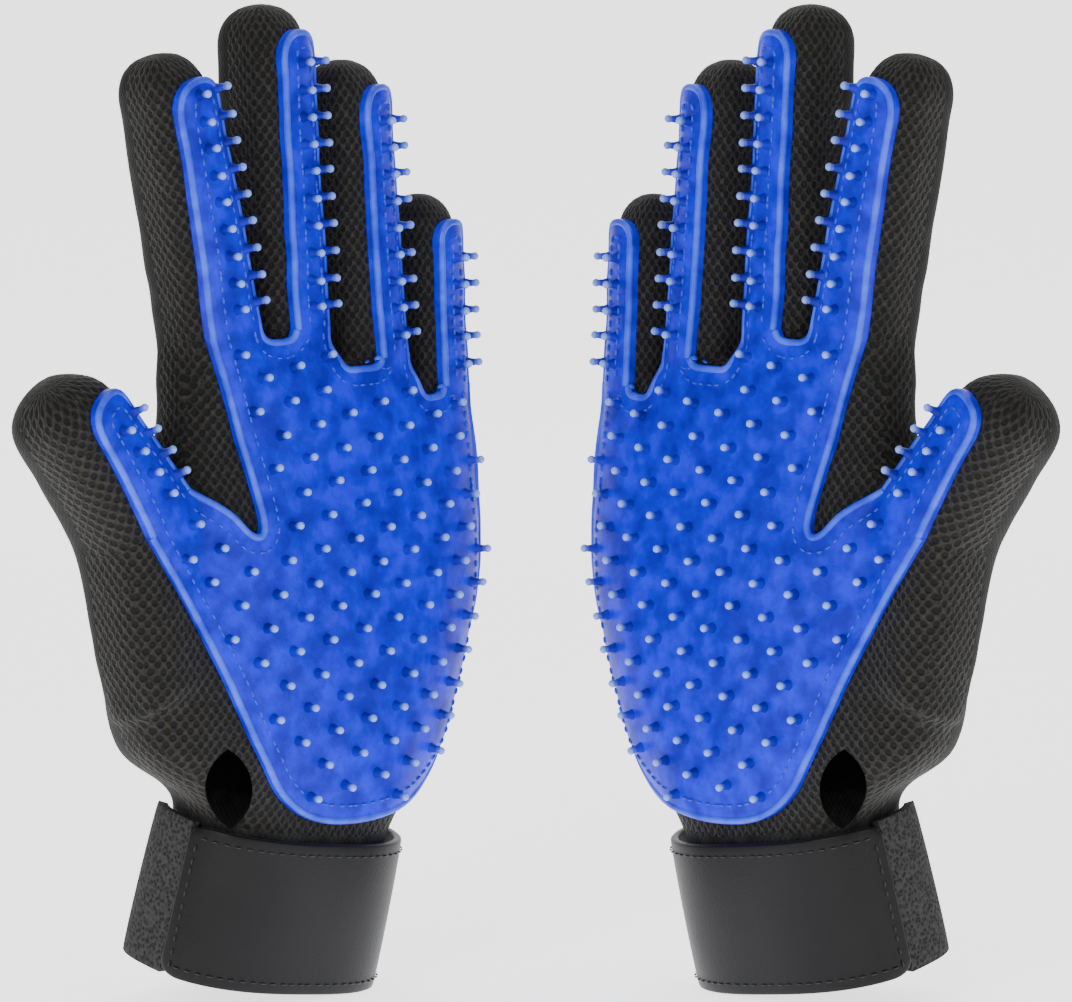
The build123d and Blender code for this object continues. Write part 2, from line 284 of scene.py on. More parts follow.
def fingerRing(name):
    f = fingers[name]
    at = fingerFrame(name)
    full = f["length"] + f["root"]

    def ring(angle, t):
        distance = -f["root"] + full * (1 - (1 - t) ** stall["crowding"])
        over = max(0.0, (distance - (f["length"] - stall["tipRound"])) / stall["tipRound"])
        fall = max(1 - over ** stall["tipPower"], stall["tipFlat"]) ** (1 / stall["tipPower"])
        wide, deep = fingerSize(name, distance)
        px, py = superPoint(wide * fall, deep * fall, angle, stall["roundness"])
        if name == "thumb" and distance < 0:
            px += stall["rootShift"] * (-distance / f["root"])
        return at @ Vector((px, py, distance))
    return ring


def makeForm():
    # the worn glove's outer surface as one closed, smooth body
    parts = [wrappedGrid("palmForm", palmRing, 64, 60)]
    for name in fingers:
        parts.append(wrappedGrid(name + "Form", fingerRing(name), 40, 44))
    form = joined(parts, "gloveForm")
    applyModifier(form, "REMESH", mode="VOXEL", voxel_size=hand["voxel"])
    applyModifier(form, "SMOOTH", factor=0.5, iterations=9)
    creases = bpy.data.textures.new("fabricCreases", "CLOUDS")
    creases.noise_scale = hand["creaseSize"]
    creases.noise_depth = 1
    applyModifier(form, "DISPLACE", texture=creases, strength=hand["creaseDepth"], mid_level=0.5,
                  texture_coords="LOCAL")
    return form


def cutAway(obj, point, normal, clearOuter=True):
    pick(obj)
    bpy.ops.object.mode_set(mode="EDIT")
    bpy.ops.mesh.select_all(action="SELECT")
    bpy.ops.mesh.bisect(plane_co=point, plane_no=normal, clear_outer=clearOuter, use_fill=False)
    bpy.ops.object.mode_set(mode="OBJECT")


def selectNear(obj, back, test):
    # selects the faces whose centres, in a finger's own frame, pass the test
    bpy.ops.mesh.select_all(action="DESELECT")
    bpy.ops.object.mode_set(mode="OBJECT")
    for p in obj.data.polygons:
        p.select = test(back @ p.center)
    bpy.ops.object.mode_set(mode="EDIT")


def splitFingers(obj):
    # each finger comes off along its own hinge plane; the hand is what is left
    found = {}
    cut = stall["cut"]
    spareX, spareY, spareZ = stall["spare"]
    for name in fingers:
        f = fingers[name]
        at = fingerFrame(name)
        back = at.inverted()
        reachX, reachY = f["base"][0] / 2 + spareX, f["base"][1] / 2 + spareY
        reachDeep = f["base"][1] / 2 + stall["spareDeep"]
        pick(obj)
        bpy.ops.object.mode_set(mode="EDIT")
        bpy.ops.mesh.select_mode(type="FACE")
        selectNear(obj, back,
                   lambda q: abs(q.x) < reachX and abs(q.y) < reachY and abs(q.z) < spareZ)
        bpy.ops.mesh.bisect(plane_co=at @ Vector((0, 0, cut)), plane_no=at.col[2].to_3d())
        selectNear(obj, back,
                   lambda q: abs(q.x) < reachX and abs(q.y) < reachDeep and q.z > cut)
        before = set(bpy.data.objects)
        bpy.ops.mesh.separate(type="SELECTED")
        bpy.ops.object.mode_set(mode="OBJECT")
        found[name] = (set(bpy.data.objects) - before).pop()
        found[name].name = name + "Part"
    return found


def surfaceOf(obj):
    mesh = obj.data
    corners = [v.co.copy() for v in mesh.vertices]
    return BVHTree.FromPolygons(corners, [tuple(p.vertices) for p in mesh.polygons])


# Outlines of the rubber face in the hand's X, Z plane

def padEdge(name, side, distance):
    f = fingers[name]
    at = fingerFrame(name)
    across = f["shift"] + side * f["pad"] / 2 - (f.get("flare", 0) if side < 0 else 0)
    point = at @ Vector((across, -f["base"][1] / 2 + 1.5, distance))
    return point.x, point.z


def smoothPath(points, step=1.0):
    out = []
    length = sum(math.dist(a, b) for a, b in zip(points, points[1:]))
    count = max(int(length / step), 8)
    for k in range(count + 1):
        out.append(tuple(smoothBetween(points, k / count)))
    return out


def slitPath(leftFinger, rightFinger, bottom):
    cut = stall["cut"]
    x1, z1 = padEdge(leftFinger, 1, cut)
    x2, z2 = padEdge(rightFinger, -1, cut)
    points = [(x1, z1), (x1 + 0.1, (z1 + bottom) / 2 + 0.8), (x1 + 1.0, bottom + 0.3)]
    points += [((x1 + x2) / 2, bottom), (x2 - 1.0, bottom + 0.3)]
    points += [(x2 - 0.1, (z2 + bottom) / 2 + 0.8), (x2, z2)]
    return smoothPath(points, 0.6)


def facePaths():
    cut = stall["cut"]
    outer = [padEdge("little", 1, cut), (44.0, 125), (45.0, 103), (42.5, 82), (37.5, 66), (31, 54),
             (22.5, 46.5), (12, 42.5), (-3, 40.8), (-16.5, 42.5), (-26, 48.5), (-33.5, 60),
             (-40.5, 74), (-47.5, 88), (-54.5, 99.5), padEdge("thumb", -1, cut)]
    crotch = [padEdge("thumb", 1, cut), (-38.5, 116.5), (-33.5, 111.5), (-30.8, 111), (-30.2, 114.5),
              (-31.8, 122), (-35.7, 138), padEdge("index", -1, cut)]
    return {
        "outer": smoothPath(outer),
        "crotch": smoothPath(crotch),
        "slitIndex": slitPath("index", "middle", 155.8),
        "slitMiddle": slitPath("middle", "ring", 148.8),
        "slitRing": slitPath("ring", "little", 141.2),
    }


def insetPath(path, distance):
    # moves a path sideways: a negative distance goes inward from the rubber's edge
    out = []
    for k, (x, z) in enumerate(path):
        a, b = path[max(k - 1, 0)], path[min(k + 1, len(path) - 1)]
        dx, dz = b[0] - a[0], b[1] - a[1]
        size = math.hypot(dx, dz) or 1.0
        out.append((x - dz / size * distance, z + dx / size * distance))
    return out


def fingerOutline(name):
    f = fingers[name]
    half = f["pad"] / 2
    end = f["length"] - rubber["tipGap"]
    start = stall["cut"]
    straight = end - half * 1.05
    middle = f["shift"]
    flare = f.get("flare", 0)
    left = [(middle - half - flare * (1 - k / 40) ** 1.5, start + (straight - start) * k / 40)
            for k in range(41)]
    arc = []
    for k in range(1, 24):
        a = math.pi - math.pi * k / 24
        px, pz = superPoint(2 * half, 2.1 * half, a, 2.35)
        arc.append((middle + px, straight + pz))
    right = [(middle + half, z) for _, z in reversed(left)]
    return left + arc + right


def prismBlock(name, points, toSpace, near, far):
    # a flat outline, extruded front to back
    deselect()
    bpy.ops.mesh.primitive_circle_add(vertices=len(points), radius=1, fill_type="NGON")
    obj = bpy.context.object
    obj.name = name
    for v, (x, z) in zip(obj.data.vertices, points):
        v.co = toSpace @ Vector((x, near, z))
    bpy.ops.object.mode_set(mode="EDIT")
    bpy.ops.mesh.select_all(action="SELECT")
    away = toSpace.to_3x3() @ Vector((0, far - near, 0))
    bpy.ops.mesh.extrude_region_move(TRANSFORM_OT_translate={"value": away})
    bpy.ops.mesh.select_all(action="SELECT")
    bpy.ops.mesh.normals_make_consistent(inside=False)
    bpy.ops.object.mode_set(mode="OBJECT")
    return obj


def cutFace(shell, prism, name):
    face = copyOf(shell, name)
    applyModifier(face, "BOOLEAN", operation="INTERSECT", object=prism, solver="MANIFOLD")
    drop(prism)
    return face


def keepLargest(obj):
    name = obj.name
    pick(obj)
    bpy.ops.mesh.separate(type="LOOSE")
    bits = sorted(bpy.context.selected_objects, key=lambda o: len(o.data.vertices))
    largest = bits.pop()
    drop(*bits)
    largest.name = name
    return largest


def projector(surface, toSpace):
    # a point (x, z) of a flat outline, dropped from the front on to the surface
    turn = toSpace.to_3x3()

    def onSurface(x, z):
        start = toSpace @ Vector((x, rubber["front"], z))
        hit, normal, _, _ = surface.ray_cast(start, turn @ Vector((0, 1, 0)))
        return hit, normal
    return onSurface


def beadAlong(name, points, radius):
    # a round bead through the points, as mesh
    curve = bpy.data.curves.new(name, "CURVE")
    curve.dimensions = "3D"
    curve.bevel_depth = radius
    curve.bevel_resolution = 3
    curve.use_fill_caps = True
    line = curve.splines.new("POLY")
    line.points.add(len(points) - 1)
    for p, co in zip(line.points, points):
        p.co = (*co, 1)
    obj = bpy.data.objects.new(name, curve)
    bpy.context.scene.collection.objects.link(obj)
    pick(obj)
    bpy.ops.object.convert(target="MESH")
    obj = bpy.context.object
    bpy.ops.object.shade_smooth()
    return obj


def dropPath(path, onSurface, lift):
    out = []
    for x, z in path:
        hit, normal = onSurface(x, z)
        if hit is not None:
            out.append(hit + normal * lift)
    return out


def relax(points, rounds=3):
    for _ in range(rounds):
        middle = [(a + b * 2 + c) / 4 for a, b, c in zip(points, points[1:], points[2:])]
        points = [points[0], *middle, points[-1]]
    return points


def nubModel():
    # a slim pin with a ball end and a slight waist, few faces because there are hundreds
    deselect()
    n = nubs
    tall = n["height"] - n["ball"] + n["sink"]
    bpy.ops.mesh.primitive_cone_add(vertices=10, radius1=n["base"], radius2=n["neck"], depth=tall,
                                    end_fill_type="NOTHING", location=(0, 0, tall / 2 - n["sink"]))
    pin = bpy.context.object
    bpy.ops.object.mode_set(mode="EDIT")
    bpy.ops.mesh.select_all(action="SELECT")
    bpy.ops.mesh.subdivide(number_cuts=1)
    bpy.ops.object.mode_set(mode="OBJECT")
    bpy.ops.object.transform_apply(location=True, rotation=True, scale=True)
    for v in pin.data.vertices:
        if abs(v.co.z - (tall / 2 - n["sink"])) < 0.2:
            v.co.x *= n["waist"]
            v.co.y *= n["waist"]
    deselect()
    bpy.ops.mesh.primitive_uv_sphere_add(segments=10, ring_count=6, radius=n["ball"],
                                         location=(0, 0, n["height"] - n["ball"]))
    ball = bpy.context.object
    bpy.ops.object.transform_apply(location=True, rotation=True, scale=True)
    whole = joined([pin, ball], "nubModel")
    shade = whole.data.attributes.new("nubHeight", "FLOAT", "POINT")
    top = n["height"]
    shade.data.foreach_set("value", [max(0.0, v.co.z / top) for v in whole.data.vertices])
    bpy.ops.object.shade_smooth()
    return whole


def spreadNubs(name, model, spots):
    # one copied nub on each spot, standing along its normal
    source = model.data
    count = len(source.vertices)
    base = np.array([v.co for v in source.vertices])
    heights = [d.value for d in source.attributes["nubHeight"].data]
    faces = [tuple(p.vertices) for p in source.polygons]
    verts, polys, shades = [], [], []
    for k, (point, normal) in enumerate(spots):
        turn = np.array(normal.to_track_quat("Z", "Y").to_matrix())
        verts.append(base @ turn.T + np.array(point))
        polys += [tuple(i + k * count for i in f) for f in faces]
        shades += heights
    mesh = bpy.data.meshes.new(name)
    mesh.from_pydata(np.concatenate(verts).tolist(), [], polys)
    shade = mesh.attributes.new("nubHeight", "FLOAT", "POINT")
    shade.data.foreach_set("value", shades)
    mesh.shade_smooth()
    obj = bpy.data.objects.new(name, mesh)
    bpy.context.scene.collection.objects.link(obj)
    return obj


def stitchRow(name, points, pitch, width=0.42, length=1.7):
    # short raised dashes of thread along a line on the surface
    deselect()
    bpy.ops.mesh.primitive_uv_sphere_add(segments=6, ring_count=5, radius=1)
    model = bpy.context.object
    for v in model.data.vertices:
        v.co = Vector((v.co.x * width, v.co.y * width * 0.8, v.co.z * length / 2))
    shade = model.data.attributes.new("nubHeight", "FLOAT", "POINT")
    spots = []
    gone = 0.0
    for a, b in zip(points, points[1:]):
        gone += (b - a).length
        if gone >= pitch:
            gone -= pitch
            spots.append(((a + b) / 2, (b - a).normalized()))
    row = spreadNubs(name, model, spots)
    drop(model)
    return row


def insideOutline(x, z, points, margin):
    inside = False
    for (x1, z1), (x2, z2) in zip(points, points[1:] + points[:1]):
        size = math.hypot(x2 - x1, z2 - z1)
        if size < 1e-6:
            continue
        share = min(max(((x - x1) * (x2 - x1) + (z - z1) * (z2 - z1)) / size ** 2, 0.0), 1.0)
        if math.hypot(x - x1 - share * (x2 - x1), z - z1 - share * (z2 - z1)) < margin:
            return False
        if (z1 > z) != (z2 > z) and x < x1 + (z - z1) / (z2 - z1) * (x2 - x1):
            inside = not inside
    return inside


def fingerSpots(name, onSurface):
    f = fingers[name]
    spots = []
    distance = nubs["firstRow"]
    while distance < f["length"] - rubber["tipGap"] - nubs["endGap"]:
        for share in nubs["columns"]:
            hit, normal = onSurface(f["shift"] + share * f["pad"], distance)
            spots.append((hit, normal))
        distance += nubs["rowPitch"]
    return spots


def palmSpots(onSurface, outline):
    spots = []
    for i in nubs["columnRange"]:
        for j in nubs["rowRange"]:
            x = nubs["palmStart"][0] + i * nubs["palmAcross"][0] + j * nubs["palmDown"][0]
            z = nubs["palmStart"][1] + i * nubs["palmAcross"][1] + j * nubs["palmDown"][1]
            if not insideOutline(x, z, outline, nubs["margin"]):
                continue
            clear = True
            for name in fingers:
                q = fingerFrame(name).inverted() @ Vector((x, fingers[name]["at"][1], z))
                reach = fingers[name]["base"][0] / 2 + nubs["fingerGap"]
                if q.z > -nubs["hingeGap"] and abs(q.x) < reach:
                    clear = False
            hit, normal = onSurface(x, z)
            if clear and hit is not None:
                spots.append((hit, normal))
    return spots


# Materials

def colour(code):
    out = []
    for k in (1, 3, 5):
        c = int(code[k:k + 2], 16) / 255
        out.append(c / 12.92 if c <= 0.04045 else ((c + 0.055) / 1.055) ** 2.4)
    return (*out, 1.0)


def addNode(tree, kind, inputs=None, **settings):
    new = tree.nodes.new(kind)
    for key, value in settings.items():
        setattr(new, key, value)
    for key, value in (inputs or {}).items():
        if isinstance(value, bpy.types.NodeSocket):
            tree.links.new(value, new.inputs[key])
        else:
            new.inputs[key].default_value = value
    return new


def newMaterial(name, **shader):
    material = bpy.data.materials.new(name)
    material.use_nodes = True
    tree = material.node_tree
    surface = tree.nodes["Principled BSDF"]
    for key, value in shader.items():
        surface.inputs[key].default_value = value
    return material, tree, surface


def twoTone(tree, mask, low, high, dark, light):
    share = addNode(tree, "ShaderNodeMapRange", {0: mask, 1: low, 2: high})
    mix = addNode(tree, "ShaderNodeMix", {0: share.outputs[0], 6: colour(dark), 7: colour(light)},
                  data_type="RGBA")
    return mix.outputs[2]


def bumpInto(tree, surface, height, distance, strength=1.0):
    bump = addNode(tree, "ShaderNodeBump", {"Height": height, "Distance": distance,
                                            "Strength": strength})
    tree.links.new(bump.outputs[0], surface.inputs["Normal"])


def mouldedRubber(name, dark, light, tip=None):
    # thermoplastic rubber, moulded: saturated colour, soft satin gloss, faint mottling and grain
    material, tree, surface = newMaterial(name, **{"IOR": 1.5, "Specular IOR Level": 0.2})
    coords = addNode(tree, "ShaderNodeTexCoord").outputs["Object"]
    # blotches about 6 mm across, grain about 0.6 mm
    blotch = addNode(tree, "ShaderNodeTexNoise", {"Vector": coords, "Scale": 170, "Detail": 4})
    grain = addNode(tree, "ShaderNodeTexNoise", {"Vector": coords, "Scale": 1600, "Detail": 2})
    tone = twoTone(tree, blotch.outputs[0], 0.35, 0.65, dark, light)
    if tip:
        # the nub is painted paler toward its end: a painted highlight where the end catches the light
        height = addNode(tree, "ShaderNodeAttribute", attribute_name="nubHeight").outputs["Fac"]
        share = addNode(tree, "ShaderNodeMapRange", {0: height, 1: 0.45, 2: 0.95})
        mixed = addNode(tree, "ShaderNodeMix", {0: share.outputs[0], 6: tone, 7: colour(tip)},
                        data_type="RGBA")
        tone = mixed.outputs[2]
    tree.links.new(tone, surface.inputs["Base Color"])
    rough = addNode(tree, "ShaderNodeMapRange", {0: grain.outputs[0], 3: 0.36, 4: 0.5})
    tree.links.new(rough.outputs[0], surface.inputs["Roughness"])
    bumpInto(tree, surface, grain.outputs[0], 0.00012, 0.5)
    return material


def weaveCoords(tree, across, along, shift=(0, 0)):
    uv = addNode(tree, "ShaderNodeUVMap", uv_map="weave").outputs[0]
    scaled = addNode(tree, "ShaderNodeMapping", {"Vector": uv, "Scale": (across, along, 1),
                                                 "Location": (*shift, 0)})
    return scaled.outputs[0]


def knitHoles(tree, pitchAcross, pitchAlong):
    # staggered round holes: two square lattices, one moved half a step
    nearest = []
    for shift in ((0, 0), (0.5, 0.5)):
        at = weaveCoords(tree, 1 / pitchAcross, 1 / pitchAlong, shift)
        cell = addNode(tree, "ShaderNodeTexVoronoi", {"Vector": at, "Scale": 1, "Randomness": 0.06},
                       voronoi_dimensions="2D")
        nearest.append(cell.outputs["Distance"])
    return addNode(tree, "ShaderNodeMath", {0: nearest[0], 1: nearest[1]},
                   operation="MINIMUM").outputs[0]


def openMesh():
    # knitted polyester spacer mesh: round holes between shiny-ish yarn, 2.3 mm apart
    material, tree, surface = newMaterial("openPolyesterMesh", Roughness=0.72, IOR=1.5)
    surface.inputs["Specular IOR Level"].default_value = 0.2
    surface.inputs["Sheen Weight"].default_value = 0.06
    holes = knitHoles(tree, 0.0023, 0.0032)
    coords = addNode(tree, "ShaderNodeTexCoord").outputs["Object"]
    fuzz = addNode(tree, "ShaderNodeTexNoise", {"Vector": coords, "Scale": 900, "Detail": 3})
    yarn = twoTone(tree, fuzz.outputs[0], 0.3, 0.7, "#100f0d", "#2e2c27")
    mask = addNode(tree, "ShaderNodeMapRange", {0: holes, 1: 0.2, 2: 0.34})
    mix = addNode(tree, "ShaderNodeMix", {0: mask.outputs[0], 6: colour("#050505"), 7: yarn},
                  data_type="RGBA")
    tree.links.new(mix.outputs[2], surface.inputs["Base Color"])
    height = addNode(tree, "ShaderNodeMath", {0: mask.outputs[0], 1: fuzz.outputs[0]},
                     operation="ADD")
    bumpInto(tree, surface, height.outputs[0], 0.0005, 0.9)
    return material


def fineKnit(name, dark, light, pitch=0.0012):
    # close knit of the back: small loops in rows, matt with a little sheen
    material, tree, surface = newMaterial(name, Roughness=0.82, IOR=1.5)
    surface.inputs["Specular IOR Level"].default_value = 0.15
    surface.inputs["Sheen Weight"].default_value = 0.05
    loops = knitHoles(tree, pitch, pitch * 1.5)
    coords = addNode(tree, "ShaderNodeTexCoord").outputs["Object"]
    fuzz = addNode(tree, "ShaderNodeTexNoise", {"Vector": coords, "Scale": 240, "Detail": 5})
    tone = twoTone(tree, fuzz.outputs[0], 0.3, 0.7, dark, light)
    mask = addNode(tree, "ShaderNodeMapRange", {0: loops, 1: 0.12, 2: 0.42, 3: 0.45, 4: 1.0})
    shaded = addNode(tree, "ShaderNodeMix", {0: mask.outputs[0], 6: colour("#0b0b0b"), 7: tone},
                     data_type="RGBA")
    tree.links.new(shaded.outputs[2], surface.inputs["Base Color"])
    height = addNode(tree, "ShaderNodeMath", {0: loops, 1: fuzz.outputs[0]}, operation="ADD")
    bumpInto(tree, surface, height.outputs[0], 0.00035, 0.8)
    return material


def heatherKnit():
    # flat knit of mixed grey yarn, on the strip beside the strap; grains about 1 mm
    material, tree, surface = newMaterial("heatherKnitStrip", Roughness=0.85, IOR=1.5)
    surface.inputs["Specular IOR Level"].default_value = 0.15
    coords = addNode(tree, "ShaderNodeTexCoord").outputs["Object"]
    yarn = addNode(tree, "ShaderNodeTexVoronoi", {"Vector": coords, "Scale": 1000})
    tree.links.new(twoTone(tree, yarn.outputs["Distance"], 0.1, 0.7, "#121212", "#3a3a3a"),
                   surface.inputs["Base Color"])
    bumpInto(tree, surface, yarn.outputs["Distance"], 0.0003, 0.8)
    return material


def strapCloth():
    # laminated loop cloth on thin foam: smooth, satin, very fine nap
    material, tree, surface = newMaterial("satinStrapCloth", IOR=1.5)
    surface.inputs["Specular IOR Level"].default_value = 0.2
    surface.inputs["Sheen Weight"].default_value = 0.04
    coords = addNode(tree, "ShaderNodeTexCoord").outputs["Object"]
    nap = addNode(tree, "ShaderNodeTexNoise", {"Vector": coords, "Scale": 1500, "Detail": 2})
    broad = addNode(tree, "ShaderNodeTexNoise", {"Vector": coords, "Scale": 60, "Detail": 3})
    tone = twoTone(tree, broad.outputs[0], 0.35, 0.65, "#070708", "#0f0f10")
    tree.links.new(tone, surface.inputs["Base Color"])
    rough = addNode(tree, "ShaderNodeMapRange", {0: broad.outputs[0], 3: 0.36, 4: 0.52})
    tree.links.new(rough.outputs[0], surface.inputs["Roughness"])
    bumpInto(tree, surface, nap.outputs[0], 0.00012, 0.5)
    return material


def threadMaterial(name, dark, light):
    # twisted polyester thread, slightly glossy
    material, tree, surface = newMaterial(name, Roughness=0.5, IOR=1.5)
    coords = addNode(tree, "ShaderNodeTexCoord").outputs["Object"]
    twist = addNode(tree, "ShaderNodeTexNoise", {"Vector": coords, "Scale": 2200, "Detail": 1})
    tree.links.new(twoTone(tree, twist.outputs[0], 0.3, 0.7, dark, light),
                   surface.inputs["Base Color"])
    bumpInto(tree, surface, twist.outputs[0], 0.0001, 0.6)
    return material


finishes = {
    "face": mouldedRubber("blueMouldedRubber", "#0003a8", "#0009ec"),
    # nub rubber painted darker than the face's as painted shade on the pins, and paler toward the
    # tips as a painted highlight
    "nub": mouldedRubber("nubRubberPaintedShadeAndHighlight", "#000280", "#0006b8", tip="#86a4f2"),
    # rim rubber painted paler than the face's: a painted highlight along the raised edge
    "rim": mouldedRubber("rimRubberPaintedHighlight", "#2238d4", "#4460f0"),
    "open": openMesh(),
    "knit": fineKnit("fineBackKnit", "#111110", "#232322"),
    "cuff": fineKnit("ribbedCuffKnit", "#1a1a1a", "#333332", 0.0015),
    "strip": heatherKnit(),
    "strap": strapCloth(),
    "thread": threadMaterial("blueThread", "#1028b8", "#2c48d8"),
    "strapThread": threadMaterial("blackThread", "#0c0c0c", "#1c1c1c"),
}


def weaveMap(obj, name):
    # where the yarn runs, in metres: round and along a finger, flat on the hand's sides
    mesh = obj.data
    layer = mesh.uv_layers.new(name="weave")
    at = fingerFrame(name).inverted() if name in fingers else None
    for p in mesh.polygons:
        if at:
            local = [at @ mesh.vertices[v].co for v in p.vertices]
            turns = [math.atan2(q.x, q.y) for q in local]
            if max(turns) - min(turns) > math.pi:
                turns = [a + 2 * math.pi if a < 0 else a for a in turns]
            uv = [(a * stall["weaveRadius"] * mm, q.z * mm) for a, q in zip(turns, local)]
        else:
            side = abs(p.normal.y) < hand["sideNormal"]
            points = [mesh.vertices[v].co for v in p.vertices]
            uv = [((q.y if side else q.x) * mm, q.z * mm) for q in points]
        for loop, pair in zip(p.loop_indices, uv):
            layer.data[loop].uv = pair


def dressFabric(obj, name):
    # open mesh beside the rubber, close knit over the back, rib at the cuff
    mesh = obj.data
    for key in ("knit", "open", "cuff"):
        mesh.materials.append(finishes[key])
    wristBack = wristFrame.inverted()
    at = fingerFrame(name).inverted() if name in fingers else None
    for p in mesh.polygons:
        if at:
            q = at @ p.center
            back = q.y > fingerSize(name, q.z)[1] * stall["backShare"]
        else:
            back = p.center.y > hand["backStart"]
            if (wristBack @ p.center).z < 0:
                p.material_index = 2
                continue
        p.material_index = 0 if back else 1


pieces = []


def keep(obj, name, body, slot, bend=None, stands=()):
    # one finished piece of the left glove, in metres, ready to be mirrored
    obj.data.transform(place)
    obj.data.update()
    obj.name = name
    obj.data.name = name
    pieces.append(dict(obj=obj, name=name, body=body, slot=slot, bend=bend, stands=stands))
    return obj


def fingerBend(name):
    # the stretch of a finger that bends, in the frame of the pair
    at = fingerFrame(name)
    start = place @ (at @ Vector((0, 0, stall["cut"])))
    end = place @ (at @ Vector((0, 0, stall["bendEnd"])))
    return ("hand", name, start, end)


def finishMesh(obj, finish, angle):
    obj.data.materials.append(finish)
    pick(obj)
    bpy.ops.object.shade_smooth_by_angle(angle=math.radians(angle))


def grownSurface(form):
    # where the rubber's outer face lies
    grown = copyOf(form, "grownForm")
    for v, n in zip(grown.data.vertices, [v.normal.copy() for v in form.data.vertices]):
        v.co += n * rubber["thickness"]
    surface = surfaceOf(grown)
    drop(grown)
    return surface


def rubberFaces(form, outline):
    # the rubber sheet is cut from a second skin outside the form
    skin = copyOf(form, "rubberSkin")
    applyModifier(skin, "SOLIDIFY", thickness=rubber["thickness"], offset=1.0)
    prism = prismBlock("palmPrism", outline, handSpace, rubber["front"], rubber["palmBack"])
    palm = keepLargest(cutFace(skin, prism, "palmFace"))
    faces = {}
    for name in fingers:
        prism = prismBlock(name + "Prism", fingerOutline(name), fingerFrame(name),
                           rubber["front"], rubber["fingerBack"])
        faces[name] = keepLargest(cutFace(skin, prism, name + "Face"))
    drop(skin)
    for obj in (palm, *faces.values()):
        obj.data.materials.clear()
        finishMesh(obj, finishes["face"], 40)
    keep(palm, "palm_rubber", "hand", "blue_rubber", stands=("palm_pad",))
    for name, obj in faces.items():
        keep(obj, name + "_rubber", name, "blue_rubber", fingerBend(name), (name + "_pad",))
    print("rubber faces:", len(palm.data.polygons), "faces on the palm")


def rubberNubs(surface, outline):
    # nubs stand on the rubber along its normals
    model = nubModel()
    palmNubs = spreadNubs("palmNubs", model, palmSpots(projector(surface, handSpace), outline))
    palmNubs.data.materials.append(finishes["nub"])
    keep(palmNubs, "palm_nubs", "hand", "blue_rubber")
    for name in fingers:
        onFinger = projector(surface, fingerFrame(name))
        row = spreadNubs(name + "Nubs", model, fingerSpots(name, onFinger))
        row.data.materials.append(finishes["nub"])
        keep(row, name + "_nubs", name, "blue_rubber", fingerBend(name))
    drop(model)
    print("nubs placed")


def edgeTrim(name, lines, onSurface, body, bend=None):
    # the moulded rim on the edge, its rubber painted paler as a painted highlight, and the dashes of
    # thread inside it
    beads = []
    rows = []
    for k, path in enumerate(lines):
        edge = insetPath(path, -rubber["rimInset"])
        points = relax(dropPath(edge, onSurface, -rubber["rimSink"]))
        beads.append(beadAlong(f"{name}Bead{k}", points, rubber["rim"]))
        inside = insetPath(path, -rubber["stitchInset"])
        inner = relax(dropPath(inside, onSurface, rubber["stitchLift"]))
        if len(inner) > rubber["shortestRow"]:
            rows.append(stitchRow(f"{name}Row{k}", inner, rubber["stitchPitch"]))
    bead = joined(beads, name + "Rim")
    bead.data.materials.append(finishes["rim"])
    keep(bead, name + "_rim", body, "blue_rubber", bend)
    row = joined(rows, name + "Stitches")
    row.data.materials.append(finishes["thread"])
    keep(row, name + "_stitches", body, "blue_rubber", bend)


def rubberTrims(surface, paths):
    edgeTrim("palm", list(paths.values()), projector(surface, handSpace), "hand")
    for name in fingers:
        onFinger = projector(surface, fingerFrame(name))
        edgeTrim(name, [fingerOutline(name)], onFinger, name, fingerBend(name))
    print("rims and stitches placed")


def ventBlock():
    # two arcs that meet in points, cut through at the thumb side of the wrist
    tall, wide, count = vent["tall"], vent["wide"], vent["arcPoints"]
    radius = (tall ** 2 / 4 + wide ** 2 / 4) / wide
    half = math.asin(tall / 2 / radius)
    points = []
    for side in (-1, 1):
        for k in range(count):
            a = side * (-half + 2 * half * k / count)
            points.append((side * (radius * math.cos(a) - radius + wide / 2), radius * math.sin(a)))
    across = Vector(vent["across"]).normalized()
    inward = Vector(vent["inward"]).normalized()
    space = Matrix((across, inward, Vector((0, 0, 1)))).transposed().to_4x4()
    space.translation = Vector(vent["at"])
    return prismBlock("ventCutter", points, space, -vent["deep"], vent["deep"])


def fabricPieces(form):
    # open at the cuff, split at the hinges, then given the fabric's thickness
    up = wristFrame.col[2].to_3d()
    cutAway(form, wristFrame @ Vector((0, 0, -cuffLength)), -up)
    parts = splitFingers(form)
    parts["hand"] = form
    for name, obj in parts.items():
        applyModifier(obj, "SOLIDIFY", thickness=hand["fabric"], offset=-1.0, use_rim=True)
        if name == "hand":
            cutter = ventBlock()
            applyModifier(obj, "BOOLEAN", operation="DIFFERENCE", object=cutter, solver="EXACT")
            drop(cutter)
        obj.data.materials.clear()
        weaveMap(obj, name)
        dressFabric(obj, name)
        pick(obj)
        bpy.ops.object.shade_smooth_by_angle(angle=math.radians(50))
        if name == "hand":
            keep(obj, "hand_fabric", "hand", "black_mesh_fabric",
                 stands=("palm_panel", "back_panel", "wrist_cuff"))
        else:
            keep(obj, name + "_fabric", name, "black_mesh_fabric", fingerBend(name),
                 (name + "_stall",))
    print("fabric:", {k: len(v.data.polygons) for k, v in parts.items()})


def cuffPoint(angle, level, off):
    # a point off the cuff's surface, at an angle round it and a level below the wrist
    share = -level / cuffLength
    top, end = hand["sections"][wristSection], hand["sections"][-1]
    width = top[3] + (end[3] - top[3]) * share + 2 * off
    depth = top[4] + (end[4] - top[4]) * share + 2 * off
    px, py = superPoint(width, depth, math.radians(angle), strap["roundness"])
    return wristFrame @ Vector((px, py, level))


